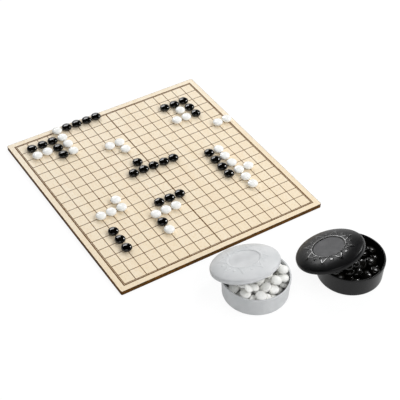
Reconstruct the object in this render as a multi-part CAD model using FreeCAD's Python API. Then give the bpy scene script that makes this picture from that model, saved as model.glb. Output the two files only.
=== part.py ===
import FreeCAD, Part
import math
import os
import random

# Go set: a flat 19 by 19 board with stones played on it, and two round lidded tubs of stones
# standing in front of it. Millimetres. X runs along the board's front edge, Y to its back, Z up;
# the origin is the centre of the board's underside, which lies on the table at Z = 0.

# ---- Board -------------------------------------------------------------------------------------
LINES = 19                   # lines each way
LINE_PITCH_X = 22.0          # between the lines that run front to back
LINE_PITCH_Y = 23.7          # between the lines that run across: a go board is a little deeper than wide
MARGIN_X = 14.1              # from the outermost line to the side edge
MARGIN_Y = 13.95             # from the outermost line to the front and back edges
CORE_THICKNESS = 7.2         # fibreboard core
VENEER_THICKNESS = 0.6       # each face
BAND_THICKNESS = 0.8         # edge band round the core
BOARD_CORNER_RADIUS = 3.0

# ---- Stones ------------------------------------------------------------------------------------
STONE_SPACING = 2.0          # clear space between two stones on neighbouring lines
STONE_THICKNESS = 9.6
STONE_RIM_RADIUS = 3.7       # rounding of the rim between the two domes
STONE_OFF_LINE = 0.6         # how far a played stone may lie off its crossing, each way
STONE_REST_GAP = 0.2         # under a played stone
HEAP_GAP = 0.15              # between stones in a tub, and between them and the tub

# ---- Tubs and lids -----------------------------------------------------------------------------
TUB_HEIGHT = 40.0
TUB_RIM_RADIUS = 60.0        # outside of the bead at the mouth
TUB_BEAD_HEIGHT = 5.0
TUB_BEAD_STEP = 0.8          # how far the bead stands out of the wall
TUB_TAPER = 1.5              # how much narrower the wall is at the base
TUB_WALL = 2.0
TUB_FLOOR = 2.2
TUB_BASE_RADIUS = 4.5        # rounding under the base
TUB_INNER_RADIUS = 3.0       # rounding inside the base
RIM_ROUNDING = 0.6           # edges of the mouth and of the lid's flange

LID_OVERHANG = 1.0           # how far the lid stands out past the bead
LID_HEIGHT = 13.5            # from the face that sits on the mouth to the top of the dome
LID_BAND = 3.0               # upright part of the lid's side
LID_SHOULDER = 5.0           # rounding from the band into the dome
LID_WALL = 2.0
LID_DISH_RADIUS = 27.0       # round sunk panel in the middle of the top
LID_DISH_DEPTH = 0.8
PLUG_DEPTH = 3.5             # ring under the lid that drops into the mouth
PLUG_WALL = 1.6
PLUG_FIT_GAP = 0.4           # between the plug ring and the mouth
LID_REST_GAP = 0.3           # where the leaning lid bears on the mouth and on the stones
TUBS_APART = 45.0            # from the white tub to the black one, along the board's front edge

# ---- Places of the tubs, how their lids lean and how the stones are heaped ------------------------
# side: from the board's middle to the tub's. gap: from the board's front edge to the tub.
# lid_shift: from the tub's axis to the lid's centre.
# lean_towards: the side that the lid's top faces, in degrees from X. lean: the lid's slope.
# fill_below_rim: how far under the rim the stones may end at the wall, or over it where it is negative.
# bank_slope: how steeply they are banked up to the lid.
TUBS = {
    "black": {"side": 2 * TUB_RIM_RADIUS + TUBS_APART - 12.0, "gap": 99.8,
              "lid_shift": (-35.0, 15.0), "lean_towards": 118.0, "lean": 22.0,
              "fill_below_rim": 1.0, "bank_slope": 0.7, "seed": 11},
    "white": {"side": -12.0, "gap": 50.8,
              "lid_shift": (-11.0, 18.0), "lean_towards": 95.0, "lean": 19.0,
              "fill_below_rim": -9.0, "bank_slope": 0.45, "seed": 5},
}

# ---- The position on the board ---------------------------------------------------------------------
# Each group of touching stones is (column, row): columns from the left, rows from the back, both from 0.
PLAYED = {
    "black_stones_back_edge": [(5, 0), (6, 0), (7, 0), (8, 0)],
    "black_stones_back_left": [(1, 1), (2, 1), (3, 1), (3, 2), (3, 3)],
    "black_stones_back_right": [(14, 2), (15, 2), (16, 2), (16, 3), (16, 4)],
    "black_stones_centre": [(8, 7), (7, 8), (8, 8), (9, 8), (10, 8), (11, 8)],
    "black_stones_right_side": [(14, 9), (14, 10), (14, 11), (14, 12)],
    "black_stones_front_centre": [(7, 12), (8, 12), (9, 12)],
    "black_stone_front_single": [(6, 14)],
    "black_stones_front_left": [(2, 13), (2, 14), (2, 15)],
    "white_stones_back_edge": [(4, 0), (4, 1), (4, 2), (4, 3)],
    "white_stones_back_left": [(1, 2), (2, 2)],
    "white_stones_back_centre": [(7, 4), (8, 4), (8, 5)],
    "white_stones_back_right": [(15, 3), (14, 4), (15, 4)],
    "white_stones_right_edge": [(17, 6), (18, 6)],
    "white_stones_right_side": [(15, 9), (15, 10), (15, 11), (15, 12), (16, 12), (15, 13), (15, 14)],
    "white_stones_left_side": [(4, 10), (4, 11), (3, 11), (2, 11)],
    "white_stones_front_centre": [(6, 13), (7, 13), (8, 13)],
    "white_stone_front_single": [(6, 15)],
}
PLAYED_SEED = 3

# ---- Sizes that follow ------------------------------------------------------------------------------
BOARD_WIDTH = (LINES - 1) * LINE_PITCH_X + 2 * MARGIN_X
BOARD_DEPTH = (LINES - 1) * LINE_PITCH_Y + 2 * MARGIN_Y
BOARD_TOP = CORE_THICKNESS + 2 * VENEER_THICKNESS

STONE_RADIUS = (min(LINE_PITCH_X, LINE_PITCH_Y) - STONE_SPACING) / 2
HALF_THICKNESS = STONE_THICKNESS / 2
RIM_CENTRE = STONE_RADIUS - STONE_RIM_RADIUS
DOME_OVER_RIM = HALF_THICKNESS - STONE_RIM_RADIUS
# The dome is the circle about the stone's axis that passes the pole and runs into the rim's rounding.
DOME_RADIUS = (HALF_THICKNESS**2 + RIM_CENTRE**2 - STONE_RIM_RADIUS**2) / (2 * DOME_OVER_RIM)
DOME_CENTRE = DOME_RADIUS - HALF_THICKNESS
DOME_START = DOME_CENTRE / (DOME_RADIUS - STONE_RIM_RADIUS)   # sine of the angle where rim turns into dome

WALL_TOP = TUB_RIM_RADIUS - TUB_BEAD_STEP      # outside of the wall under the bead
WALL_BASE = WALL_TOP - TUB_TAPER
MOUTH_RADIUS = WALL_TOP - TUB_WALL
INNER_BASE = WALL_BASE - TUB_WALL
INNER_START = TUB_FLOOR + TUB_INNER_RADIUS     # where the inner wall rises from its rounding
INNER_END = TUB_HEIGHT - RIM_ROUNDING

LID_RADIUS = TUB_RIM_RADIUS + LID_OVERHANG
PLUG_RADIUS = MOUTH_RADIUS - PLUG_FIT_GAP
PLUG_INNER = PLUG_RADIUS - PLUG_WALL
LID_ROOF = LID_HEIGHT - LID_DISH_DEPTH - LID_WALL
DISH_EDGE = LID_DISH_RADIUS + LID_DISH_DEPTH   # the dish's side slopes at 45 degrees

# The dome is an arc that leaves the dish's edge level and runs into the shoulder's rounding.
DOME_RUN = LID_RADIUS - LID_SHOULDER - DISH_EDGE
DOME_RISE = LID_HEIGHT - LID_BAND - LID_SHOULDER
DOME_SLOPE = 2 * math.atan2(DOME_RISE, DOME_RUN)          # where it meets the shoulder
LID_DOME_RADIUS = DOME_RUN / math.sin(DOME_SLOPE) + LID_SHOULDER
LID_DOME_CENTRE = LID_HEIGHT - LID_DOME_RADIUS            # height of the arc's centre
INNER_DOME = LID_DOME_RADIUS - LID_WALL
INNER_SLOPE = math.asin((PLUG_INNER - DISH_EDGE) / INNER_DOME)            # at the plug ring
ROOF_SLOPE = math.acos((LID_ROOF - LID_DOME_CENTRE) / INNER_DOME)         # at the flat roof
LID_EAVES = LID_DOME_CENTRE + INNER_DOME * math.cos(INNER_SLOPE)          # inside, at the plug ring

RIM_SAMPLES = 720            # places round the mouth where the leaning lid may bear on it

UP = FreeCAD.Vector(0, 0, 1)
ORIGIN = FreeCAD.Vector(0, 0, 0)


def export(name, solids):
    shape = solids[0] if len(solids) == 1 else Part.Compound(solids)
    shape.exportStep(f"parts/{name}.step")


def revolved(start, steps):
    """Solid of revolution about Z. Points are (r, z); a step of two is the middle and end of an arc."""
    edges = []
    here = FreeCAD.Vector(start[0], 0, start[1])
    for step in steps + [start]:
        if isinstance(step[0], tuple):
            middle = FreeCAD.Vector(step[0][0], 0, step[0][1])
            end = FreeCAD.Vector(step[1][0], 0, step[1][1])
            edges.append(Part.Arc(here, middle, end).toShape())
        else:
            end = FreeCAD.Vector(step[0], 0, step[1])
            edges.append(Part.makeLine(here, end))
        here = end
    return Part.Face(Part.Wire(edges)).revolve(ORIGIN, UP, 360)


def corner_arc(centre, radius, from_angle, to_angle):
    """Middle and end of an arc in a profile, from its centre, radius and angles in degrees."""
    points = []
    for angle in ((from_angle + to_angle) / 2, to_angle):
        turn = math.radians(angle)
        points.append((centre[0] + radius * math.cos(turn), centre[1] + radius * math.sin(turn)))
    return tuple(points)


# ---- Board -------------------------------------------------------------------------------------
def slab(width, depth, thickness, base, corner):
    box = Part.makeBox(width, depth, thickness, FreeCAD.Vector(-width / 2, -depth / 2, base))
    upright = [edge for edge in box.Edges if abs(edge.tangentAt(edge.FirstParameter).z) > 0.9]
    return box.makeFillet(corner, upright)


def board_pieces():
    core_width = BOARD_WIDTH - 2 * BAND_THICKNESS
    core_depth = BOARD_DEPTH - 2 * BAND_THICKNESS
    core_corner = BOARD_CORNER_RADIUS - BAND_THICKNESS
    core = slab(core_width, core_depth, CORE_THICKNESS, VENEER_THICKNESS, core_corner)
    outside = slab(BOARD_WIDTH, BOARD_DEPTH, CORE_THICKNESS, VENEER_THICKNESS, BOARD_CORNER_RADIUS)
    face = (BOARD_WIDTH, BOARD_DEPTH, VENEER_THICKNESS)
    return {
        "board_core": core,
        "board_edge_band": outside.cut(core),
        "backing_veneer": slab(*face, 0, BOARD_CORNER_RADIUS),
        "playing_veneer": slab(*face, VENEER_THICKNESS + CORE_THICKNESS, BOARD_CORNER_RADIUS),
    }


# ---- Stones ------------------------------------------------------------------------------------
def stone_solid():
    """One stone about the origin: two shallow domes run into a rounded rim."""
    turn = math.degrees(math.asin(DOME_START))
    lower_dome = corner_arc((0, DOME_CENTRE), DOME_RADIUS, -90, -turn)
    rim = corner_arc((RIM_CENTRE, 0), STONE_RIM_RADIUS, -turn, turn)
    upper_dome = corner_arc((0, -DOME_CENTRE), DOME_RADIUS, turn, 90)
    return revolved((0, -HALF_THICKNESS), [lower_dome, rim, upper_dome])


def placed(solid, centre, axis):
    """A copy of the solid with its centre moved to a point and its Z axis turned along another."""
    copy = solid.copy()
    copy.Placement = FreeCAD.Placement(centre, FreeCAD.Rotation(UP, axis))
    return copy


def played_stones(solid):
    dice = random.Random(PLAYED_SEED)
    middle = (LINES - 1) / 2
    height = BOARD_TOP + STONE_REST_GAP + HALF_THICKNESS
    for name, crossings in PLAYED.items():
        stones = []
        for column, row in crossings:
            x = (column - middle) * LINE_PITCH_X + dice.uniform(-STONE_OFF_LINE, STONE_OFF_LINE)
            y = (middle - row) * LINE_PITCH_Y + dice.uniform(-STONE_OFF_LINE, STONE_OFF_LINE)
            stones.append(placed(solid, FreeCAD.Vector(x, y, height), UP))
        export(name, stones)


# ---- Tubs and lids -----------------------------------------------------------------------------
def tub_solid():
    """Tub with its base on Z = 0 and its axis on Z."""
    bead_foot = TUB_HEIGHT - TUB_BEAD_HEIGHT
    base_edge = WALL_BASE - TUB_BASE_RADIUS
    inner_edge = INNER_BASE - TUB_INNER_RADIUS
    mouth_edge = MOUTH_RADIUS + RIM_ROUNDING
    bead_edge = TUB_RIM_RADIUS - RIM_ROUNDING
    return revolved((0, 0), [
        (base_edge, 0),
        corner_arc((base_edge, TUB_BASE_RADIUS), TUB_BASE_RADIUS, -90, 0),
        (WALL_TOP, bead_foot),
        (TUB_RIM_RADIUS, bead_foot),
        (TUB_RIM_RADIUS, INNER_END),
        corner_arc((bead_edge, INNER_END), RIM_ROUNDING, 0, 90),
        (mouth_edge, TUB_HEIGHT),
        corner_arc((mouth_edge, INNER_END), RIM_ROUNDING, 90, 180),
        (INNER_BASE, INNER_START),
        corner_arc((inner_edge, INNER_START), TUB_INNER_RADIUS, 0, -90),
        (0, TUB_FLOOR),
    ])


def lid_solid():
    """Lid about its own frame: Z = 0 is the flange face that sits on the mouth, and the top faces +Z."""
    flange_edge = LID_RADIUS - RIM_ROUNDING
    shoulder_edge = LID_RADIUS - LID_SHOULDER
    panel = LID_HEIGHT - LID_DISH_DEPTH
    dome_centre = (DISH_EDGE, LID_DOME_CENTRE)
    dome_end = 90 - math.degrees(DOME_SLOPE)
    inner_end = 90 - math.degrees(INNER_SLOPE)
    roof_edge = 90 - math.degrees(ROOF_SLOPE)
    return revolved((0, LID_ROOF), [
        (DISH_EDGE + INNER_DOME * math.sin(ROOF_SLOPE), LID_ROOF),
        corner_arc(dome_centre, INNER_DOME, roof_edge, inner_end),
        (PLUG_INNER, -PLUG_DEPTH),
        (PLUG_RADIUS, -PLUG_DEPTH),
        (PLUG_RADIUS, 0),
        (flange_edge, 0),
        corner_arc((flange_edge, RIM_ROUNDING), RIM_ROUNDING, -90, 0),
        (LID_RADIUS, LID_BAND),
        corner_arc((shoulder_edge, LID_BAND), LID_SHOULDER, 0, dome_end),
        corner_arc(dome_centre, LID_DOME_RADIUS, dome_end, 90),
        (LID_DISH_RADIUS, panel),
        (0, panel),
    ])


def direction_of(slope, bearing):
    """Unit vector at an angle from Z and a bearing from X, in radians."""
    side = math.sin(slope)
    return FreeCAD.Vector(side * math.cos(bearing), side * math.sin(bearing), math.cos(slope))


def lean_axis(place):
    """Unit vector square to the leaning lid's top."""
    return direction_of(math.radians(place["lean"]), math.radians(place["lean_towards"]))


def lid_meets(point, centre, axis):
    """Whether a point is in the lid or nearer to it than the rest gap."""
    offset = point - centre
    height = offset.dot(axis)
    reach = (offset - axis * height).Length
    if reach > LID_RADIUS + LID_REST_GAP or height > LID_HEIGHT:
        return False
    if reach < PLUG_INNER - LID_REST_GAP:
        return height > LID_EAVES - LID_REST_GAP
    if reach < PLUG_RADIUS + LID_REST_GAP:
        return height > -PLUG_DEPTH - LID_REST_GAP
    return height > -LID_REST_GAP


def resting_lid_centre(place):
    """Centre of the flange face of the lid where it comes down on the mouth, in the tub's own frame."""
    mouth = []
    rim_points = [
        (MOUTH_RADIUS, INNER_END),
        (MOUTH_RADIUS + RIM_ROUNDING, TUB_HEIGHT),
        (TUB_RIM_RADIUS - RIM_ROUNDING, TUB_HEIGHT),
        (TUB_RIM_RADIUS, INNER_END),
        (TUB_RIM_RADIUS, TUB_HEIGHT - TUB_BEAD_HEIGHT),
    ]
    for step in range(RIM_SAMPLES):
        turn = 2 * math.pi * step / RIM_SAMPLES
        for radius, height in rim_points:
            mouth.append(FreeCAD.Vector(radius * math.cos(turn), radius * math.sin(turn), height))
    axis = lean_axis(place)
    centre = FreeCAD.Vector(*place["lid_shift"], TUB_HEIGHT + LID_RADIUS)
    for step in (1.0, 0.1, 0.01):
        while not any(lid_meets(point, centre, axis) for point in mouth):
            centre.z -= step
        centre.z += step
    return centre


# ---- Stones heaped in a tub ----------------------------------------------------------------------
GAP_STEPS = 10               # rounds in which the line of least distance between two stones is found
TURN_RATE = 1 / 20           # how far each round turns that line, per millimetre that the stones are askew
DROPS = 30                   # places tried for each stone, of which it takes the lowest
NUDGES = 250                 # small moves with which a stone then settles
NUDGE_TURN = 0.15            # how far a stone may tip in one of them
WALL_BEARINGS = (-0.6, -0.3, 0, 0.3, 0.6)   # where a stone is held against the wall, in radians each side
ROOF_SLOPES = (0.17, 0.23, 0.29, 0.35)      # where a stone is held under the lid's dome, in radians
ROOF_BEARINGS = (-0.3, -0.15, 0, 0.15, 0.3)
DROP_HEIGHT = 2 * TUB_HEIGHT
STEEPEST = 50.0              # slope of a stone before it settles, in degrees at most
FAILED_DROPS = 400           # tries with no room before the heap counts as full
BANK_TOP = 20.0              # radius of the bank's top under the lid's middle
PROPS = 3                    # last stones, put where they come nearest to the lid
PROP_DROPS = 500             # places tried for each of those


def farthest(axis, direction):
    """The point of a stone at the origin, with its axis given, that lies farthest in a direction."""
    along = axis.dot(direction)
    if abs(along) > DOME_START:
        return direction * DOME_RADIUS - axis * math.copysign(DOME_CENTRE, along)
    flat = direction - axis * along
    return flat * (RIM_CENTRE / flat.Length) + direction * STONE_RIM_RADIUS


def extent(axis, direction):
    return farthest(axis, direction).dot(direction)


def gap_between(centre, axis, other):
    """Distance between two stones, or a lower bound of it. Negative if they overlap."""
    offset = other[0] - centre
    direction = offset / offset.Length
    best = offset.Length - 2 * STONE_RADIUS
    for _ in range(GAP_STEPS):
        between = offset - farthest(axis, direction) - farthest(other[1], direction)
        gap = between.dot(direction)
        best = max(best, gap)
        direction = direction + (between - direction * gap) * TURN_RATE
        direction.normalize()
    return best


def gap_to_tub(centre, axis):
    """Distance from a stone to the floor and the tapered wall of its tub."""
    gap = centre.z - extent(axis, UP) - TUB_FLOOR
    bearing = math.atan2(centre.y, centre.x)
    slope = math.atan2(MOUTH_RADIUS - INNER_BASE, INNER_END - INNER_START)
    foot = FreeCAD.Vector(0, 0, INNER_START)
    for turn in WALL_BEARINGS:
        outward = direction_of(math.pi / 2 + slope, bearing + turn)
        inside = INNER_BASE * math.cos(slope) - (centre - foot).dot(outward)
        gap = min(gap, inside - extent(axis, outward))
    return gap


def smallest_gap(centre, axis, heap):
    gap = gap_to_tub(centre, axis)
    for other in heap:
        if (other[0] - centre).Length - 2 * STONE_RADIUS < gap:
            gap = min(gap, gap_between(centre, axis, other))
    return gap


def room_under_lid(centre, axis, place, lid_centre):
    """Room left between a stone and the leaning lid: its plug ring, its flat roof or the dome round that."""
    lid_axis = lean_axis(place)
    offset = centre - lid_centre
    height = offset.dot(lid_axis)
    reach = (offset - lid_axis * height).Length
    if reach > LID_RADIUS + STONE_RADIUS + LID_REST_GAP:
        return LID_RADIUS
    if reach > PLUG_INNER - STONE_RADIUS - LID_REST_GAP:
        return -PLUG_DEPTH - LID_REST_GAP - height - extent(axis, lid_axis)
    room = LID_ROOF - height - extent(axis, lid_axis)
    outward = (offset - lid_axis * height) / max(reach, HEAP_GAP)
    aside = lid_axis.cross(outward)
    for slope in ROOF_SLOPES:
        for turn in ROOF_BEARINGS:
            level = outward * math.cos(turn) + aside * math.sin(turn)
            up = lid_axis * math.cos(slope) + level * math.sin(slope)
            dome = DISH_EDGE * math.sin(slope) + LID_DOME_CENTRE * math.cos(slope) + INNER_DOME
            room = min(room, dome - offset.dot(up) - extent(axis, up))
    return room - LID_REST_GAP


def within_heap(centre, axis, place, lid_centre):
    """Whether a stone lies under the heap's surface: level at the wall, banked up to the lid's middle."""
    level = TUB_HEIGHT - place["fill_below_rim"]
    away = math.hypot(centre.x - lid_centre.x, centre.y - lid_centre.y) - BANK_TOP
    banked = lid_centre.z + LID_ROOF - place["bank_slope"] * max(0, away)
    return centre.z + extent(axis, UP) < max(level, banked)


def leaning(dice, steepest):
    """A random unit vector, no farther from Z than a number of degrees."""
    slope = math.radians(dice.uniform(0, steepest))
    return direction_of(slope, dice.uniform(0, 2 * math.pi))


def dropped(dice, heap):
    """A stone let down over a random place until it lies on the floor or on other stones."""
    axis = leaning(dice, STEEPEST)
    bearing = dice.uniform(0, 2 * math.pi)
    away = (MOUTH_RADIUS - STONE_RIM_RADIUS) * math.sqrt(dice.random())
    centre = FreeCAD.Vector(away * math.cos(bearing), away * math.sin(bearing), DROP_HEIGHT)
    if gap_to_tub(centre, axis) < HEAP_GAP:
        return None
    below = []
    for other in heap:
        if math.hypot(other[0].x - centre.x, other[0].y - centre.y) < 2 * STONE_RADIUS:
            below.append(other)
    while True:
        gap = smallest_gap(centre, axis, below) - HEAP_GAP
        if gap < HEAP_GAP / 4:
            return None if gap < 0 else (centre, axis)
        centre.z -= gap


def settled(dice, stone, heap):
    """The stone after small random moves, each kept where it lies lower and still clear."""
    near = [other for other in heap if (other[0] - stone[0]).Length < 4 * STONE_RADIUS]
    centre, axis = stone
    for _ in range(NUDGES):
        shift = FreeCAD.Vector(dice.uniform(-1, 1), dice.uniform(-1, 1), -dice.random())
        moved = centre + shift
        turned = axis + leaning(dice, 90) * dice.uniform(-NUDGE_TURN, NUDGE_TURN)
        turned.normalize()
        if smallest_gap(moved, turned, near) > HEAP_GAP:
            centre = moved
            axis = turned
    return (centre, axis)


def heaped_stones(place, lid_centre):
    """Centres and axes of the stones in a tub, from the floor up to those that the lid bears on."""
    dice = random.Random(place["seed"])
    heap = []

    def clear_of_lid(count):
        tries = [dropped(dice, heap) for _ in range(count)]
        return [stone for stone in tries if stone and room_under_lid(*stone, place, lid_centre) >= 0]

    failed = 0
    while failed < FAILED_DROPS:
        fitting = [stone for stone in clear_of_lid(DROPS) if within_heap(*stone, place, lid_centre)]
        if not fitting:
            failed += DROPS
            continue
        failed = 0
        lowest = min(fitting, key=lambda stone: stone[0].z)
        stone = settled(dice, lowest, heap)
        heap.append(stone if room_under_lid(*stone, place, lid_centre) >= 0 else lowest)
    for _ in range(PROPS):
        fitting = clear_of_lid(PROP_DROPS)
        heap.append(min(fitting, key=lambda stone: room_under_lid(*stone, place, lid_centre)))
    return heap


# ---- Build -------------------------------------------------------------------------------------
def main():
    os.makedirs("parts", exist_ok=True)
    for name, solid in board_pieces().items():
        export(name, [solid])
    stone = stone_solid()
    played_stones(stone)
    tub = tub_solid()
    lid = lid_solid()
    for colour, place in TUBS.items():
        base = FreeCAD.Vector(place["side"], -BOARD_DEPTH / 2 - place["gap"] - TUB_RIM_RADIUS, 0)
        lid_centre = resting_lid_centre(place)
        heap = heaped_stones(place, lid_centre)
        export(f"{colour}_tub", [placed(tub, base, UP)])
        export(f"{colour}_lid", [placed(lid, base + lid_centre, lean_axis(place))])
        export(f"{colour}_stones_in_tub", [placed(stone, base + centre, axis) for centre, axis in heap])
        lid_rise = lid_centre.z - TUB_HEIGHT
        print(f"{colour}: {len(heap)} stones in the tub, lid centre {lid_rise:.2f} mm over the mouth")
    print(f"stone {2 * STONE_RADIUS:.2f} x {STONE_THICKNESS:.2f} mm, dome radius {DOME_RADIUS:.2f} mm")


main()
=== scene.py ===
import math

import bpy
import numpy as np
from mathutils import Matrix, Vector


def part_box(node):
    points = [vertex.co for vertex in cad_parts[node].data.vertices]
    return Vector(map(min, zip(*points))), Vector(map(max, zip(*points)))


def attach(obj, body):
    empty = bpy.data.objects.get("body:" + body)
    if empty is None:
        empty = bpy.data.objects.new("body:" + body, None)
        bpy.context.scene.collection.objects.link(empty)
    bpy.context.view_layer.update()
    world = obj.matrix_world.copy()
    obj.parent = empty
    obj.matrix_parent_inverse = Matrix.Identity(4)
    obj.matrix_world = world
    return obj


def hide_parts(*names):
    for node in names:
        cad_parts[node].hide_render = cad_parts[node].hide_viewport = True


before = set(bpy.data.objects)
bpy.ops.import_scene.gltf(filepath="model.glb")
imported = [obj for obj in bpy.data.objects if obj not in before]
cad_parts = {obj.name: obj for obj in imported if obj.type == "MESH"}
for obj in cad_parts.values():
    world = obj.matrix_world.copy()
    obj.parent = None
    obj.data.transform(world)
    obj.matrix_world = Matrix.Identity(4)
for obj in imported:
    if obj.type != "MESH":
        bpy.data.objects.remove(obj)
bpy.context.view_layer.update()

bl_info = {
    "name": "Go Board With Stone Tubs",
    "version": (1, 0, 0),
    "blender": (4, 5, 0),
    "location": "View3D > Sidebar > Go Set",
    "description": "Surfaces and finishes of a go board, its stones and their two lidded tubs",
    "category": "Object",
}

MM = 0.001

# ---- Sizes in millimetres, the same as the CAD model's ------------------------------------------
LINES = 19
PITCH = (22.0, 23.7)         # between lines, along the front edge and along the sides
STAR_LINE = 3                # star points: lines in from the outermost one
INK_FILM = 0.03              # the ink's film over the face, thicker than real so that it covers
INK_STEP = 0.002             # between the tops of two sets of lines that cross
INK_ROOT = 0.01              # how far the film's foot lies inside the face

BOARD = (424.2, 454.5)
BOARD_CORNER = 3.0
VENEER = 0.6
CORE = 7.2
BAND = 0.8
BOARD_TOP = CORE + 2 * VENEER
EDGE_SOFTENING = 0.2         # sanded arris of the veneers and the band
DARK_BORDER = 0.45           # how far the edge's dark colour runs onto the border of a veneer's face

RIM_RADIUS = 60.0            # tub: outside of its bead
TUB_HEIGHT = 40.0
BEAD = (5.0, 0.8)            # height and how far it stands out
TAPER = 1.5
WALL = 2.0
FLOOR = 2.2
FOOT_RECESS = 0.6            # the middle of the underside stands clear of the table
FOOT_RING = (7.4, 6.6)       # inner side of the foot ring, in from the outside of the wall's base
BASE_ROUNDING = (4.5, 3.0)   # outside and inside
BEAD_SLOPE = (-0.1, 0.25)    # heights of the ends of the bead's sloping underside, from its foot
RIM_ROUNDING = 0.6

LID_RADIUS = 61.0
LID_HEIGHT = 13.5
LID_BAND = 3.0
LID_SHOULDER = 5.0
DISH = (27.0, 0.8)           # radius and depth of the panel in the lid's middle
PLUG = (55.2, 56.8, 3.5)     # inner and outer radius and depth of the ring under the lid
DISH_LIP = 0.5               # level strip round the dish, before the dome falls

RELIEF_BAND = (28.4, 47.4)   # radii between which the ornament is raised
RELIEF_SIDE = 0.45           # width of the steep side of a raised line
LEAF = (29.8, 46.0, 8.6)     # radii of its root and tip, and its spread to each side at the root
LEAF_POWER = 1.3             # how its outline draws in to the tip
LEAF_LINE = 3.0              # width of the raised line of its outline
LEAF_TURN = {"black": -8.0, "white": 10.0}   # degrees from the lid's front, anticlockwise, to a leaf
SEED = (38.6, 3.6, 2.6, 0.4)  # radius it lies on, half its length, half its width, and its slant
RIM_LINE = 2.4               # width of the raised line at the leaves' roots
POLISHED_FROM = 0.6          # share of its full height from which the ornament is polished

# ---- How finely the surfaces are divided ---------------------------------------------------------
TUB_SEGMENTS = 256
LID_SEGMENTS = 560
LID_CEILING_STEPS = 9
LID_SHOULDER_STEPS = 12
LID_DOME_STEPS = 9
RELIEF_STEPS = 46
DOT_SEGMENTS = 24
PLAYED_STONE = {"dome_steps": 4, "rim_steps": 8, "segments": 32}
KEPT_STONE = {"dome_steps": 2, "rim_steps": 4, "segments": 14}

# ---- Stage, in metres ----------------------------------------------------------------------------
SWEEP_RADIUS = 6.0
SWEEP_BEND = 0.5             # radius of the curve between the floor and its wall
SWEEP_TOP = 1.7              # height of that wall
SWEEP_RINGS = (1.5, 4.0)     # radii at which the flat floor is divided
SWEEP_BEND_STEPS = 9
SWEEP_SEGMENTS = 96
# Azimuth and elevation in degrees, distance and size in metres, radiance, and whether gloss mirrors the
# lamp. The strips behind draw the gleam of the lids' relief, the small box on the right the spots on the
# stones, and the large boxes light the whole softly.
LAMPS = {
    "back_strip": (11, 36, 3.0, (1.3, 0.42), 12.0, True),
    "low_strip": (18, 21, 3.2, (1.3, 0.3), 7.0, True),
    "right_box": (70, 43, 2.8, (0.45, 0.45), 34.0, True),
    "key_box": (142, 42, 2.8, (2.2, 1.6), 3.9, False),
    "front_box": (215, 50, 2.8, (1.6, 1.0), 2.4, True),
}
LAMP_AIM = (0.04, -0.12, 0.0)


def linear(code):
    """Linear red, green and blue of an sRGB hex colour."""
    channels = np.array([int(code[at:at + 2], 16) for at in (1, 3, 5)]) / 255
    low = channels / 12.92
    high = ((channels + 0.055) / 1.055) ** 2.4
    return tuple(np.where(channels <= 0.04045, low, high))


def colour(name, description, code):
    """A colour setting whose default is an sRGB hex colour."""
    return bpy.props.FloatVectorProperty(
        name=name, description=description, subtype="COLOR", size=3, min=0, max=1, default=linear(code))


def length(name, description, millimetres):
    """A length setting whose default is in millimetres."""
    return bpy.props.FloatProperty(
        name=name, description=description, subtype="DISTANCE", unit="LENGTH", min=0, precision=5,
        default=millimetres * MM)


# ---- What a user would change --------------------------------------------------------------------
class GOSET_board_settings(bpy.types.PropertyGroup):
    line_width: length("Line Width", "Width of the printed lines", 1.4)
    middle_width: length("Middle Line Width", "Width of the line down the board's middle", 2.2)
    frame_width: length("Frame Width", "Width of the heavy line round the grid", 2.2)
    frame_gap: length("Frame Gap", "From the outermost line to the middle of the heavy line", 2.4)
    star_width: length("Star Point Width", "Diameter of the dots on nine of the crossings", 4.0)
    veneer: colour("Veneer", "Pale veneer under satin lacquer", "#F1E4CC")
    veneer_warm: colour("Veneer Grain", "Warmer late wood in the veneer's grain", "#EAD6B4")
    ink: colour("Ink", "Dark brown ink of the lines", "#5A3607")
    edge: colour("Edge", "Dark stain on the edge band", "#5E3E12")
    edge_streak: colour("Edge Streaks", "Redder streaks where the stain lies thin", "#83521A")


class GOSET_stone_settings(bpy.types.PropertyGroup):
    diameter: length("Diameter", "Diameter of a stone", 20.0)
    thickness: length("Thickness", "Thickness of a stone", 9.6)
    rim: length("Rim Rounding", "Rounding of the rim between the two domes", 3.7)
    black: colour("Black", "Black glass", "#060504")
    white: colour("White", "Opal white glass", "#FBFAF5")


class GOSET_tub_settings(bpy.types.PropertyGroup):
    leaves: bpy.props.IntProperty(
        name="Leaves", description="Leaves in the raised ring on each lid", default=8, min=3, max=24)
    relief: length("Relief", "Height of the raised ornament on the lids", 0.35)
    black: colour("Black", "Black polystyrene", "#0E0E0F")
    white: colour("White", "Off-white polystyrene", "#D3D4D5")


class GOSET_stage_settings(bpy.types.PropertyGroup):
    azimuth: bpy.props.FloatProperty(
        name="Azimuth", description="Side from which the camera looks; 0 is the front edge",
        subtype="ANGLE", default=math.radians(-32.98))
    elevation: bpy.props.FloatProperty(
        name="Elevation", description="How far the camera looks down", subtype="ANGLE",
        default=math.radians(42.50))
    roll: bpy.props.FloatProperty(
        name="Roll", description="Turn of the camera about its own axis", subtype="ANGLE",
        default=math.radians(0.98))
    place: bpy.props.FloatVectorProperty(
        name="Camera Place", description="Where the camera stands", subtype="TRANSLATION",
        unit="LENGTH", size=3, default=(-0.8122, -1.3923, 1.4190))
    lens: bpy.props.FloatProperty(
        name="Lens", description="Focal length for a 36 mm wide sensor, in millimetres", default=101.35)
    room: bpy.props.FloatProperty(
        name="Room", description="Strength of the even light from all sides", default=0.28, min=0)


# ---- Surfaces worked out as whole arrays ---------------------------------------------------------
def joined(lower, upper, segments):
    """Quads that join each lower ring of points to its upper one. A ring is given by its first point's
    number; its points follow each other round the axis."""
    here = np.arange(segments)
    after = (here + 1) % segments
    lower, upper = lower[:, None], upper[:, None]
    return np.stack([lower + here, lower + after, upper + after, upper + here], axis=2).reshape(-1, 4)


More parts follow.
